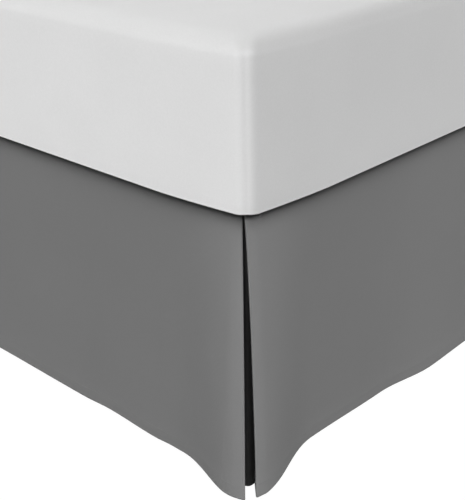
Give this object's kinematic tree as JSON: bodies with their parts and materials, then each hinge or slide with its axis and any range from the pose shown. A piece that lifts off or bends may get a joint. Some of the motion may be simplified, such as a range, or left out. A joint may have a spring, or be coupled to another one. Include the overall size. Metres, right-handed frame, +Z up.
{
  "type": "bed skirt on a bed",
  "caption": "Tailored cloth bed skirt with flat drops and pleated, slit foot corners, hanging from its deck between a plain mattress and a base on a steel frame.",
  "frame": {"origin": "on the floor, under the middle of the whole object", "axes": "+Z up, +Y towards the head of the bed, +X towards the side drop nearer the picture's right"},
  "size_m": [1.5641, 2.0613, 0.5991],
  "materials": {
    "skirt_cloth": "plain brushed weave, mid grey, matt",
    "deck_cloth": "thin plain weave, pale grey, matt",
    "sheet_cloth": "smooth fitted sheet, white, matt",
    "ticking": "plain upholstery cloth, matt",
    "steel": "black powder coat, satin",
    "plastic": "black, matt"
  },
  "bodies": {
    "root": {"deck": "deck_cloth", "foot_drop": "skirt_cloth", "right_drop": "skirt_cloth", "left_drop": "skirt_cloth", "right_inset": "skirt_cloth", "left_inset": "skirt_cloth", "mattress": "sheet_cloth", "base": "ticking", "right_rail": "steel", "left_rail": "steel", "cross_foot": "steel", "cross_middle": "steel", "cross_head": "steel", "leg_foot_left": "steel", "leg_foot_centre": "steel", "leg_foot_right": "steel", "leg_middle_left": "steel", "leg_middle_centre": "steel", "leg_middle_right": "steel", "leg_head_left": "steel", "leg_head_centre": "steel", "leg_head_right": "steel", "foot_foot_left": "plastic", "foot_foot_centre": "plastic", "foot_foot_right": "plastic", "foot_middle_left": "plastic", "foot_middle_centre": "plastic", "foot_middle_right": "plastic", "foot_head_left": "plastic", "foot_head_centre": "plastic", "foot_head_right": "plastic"}
  },
  "joints": []
}
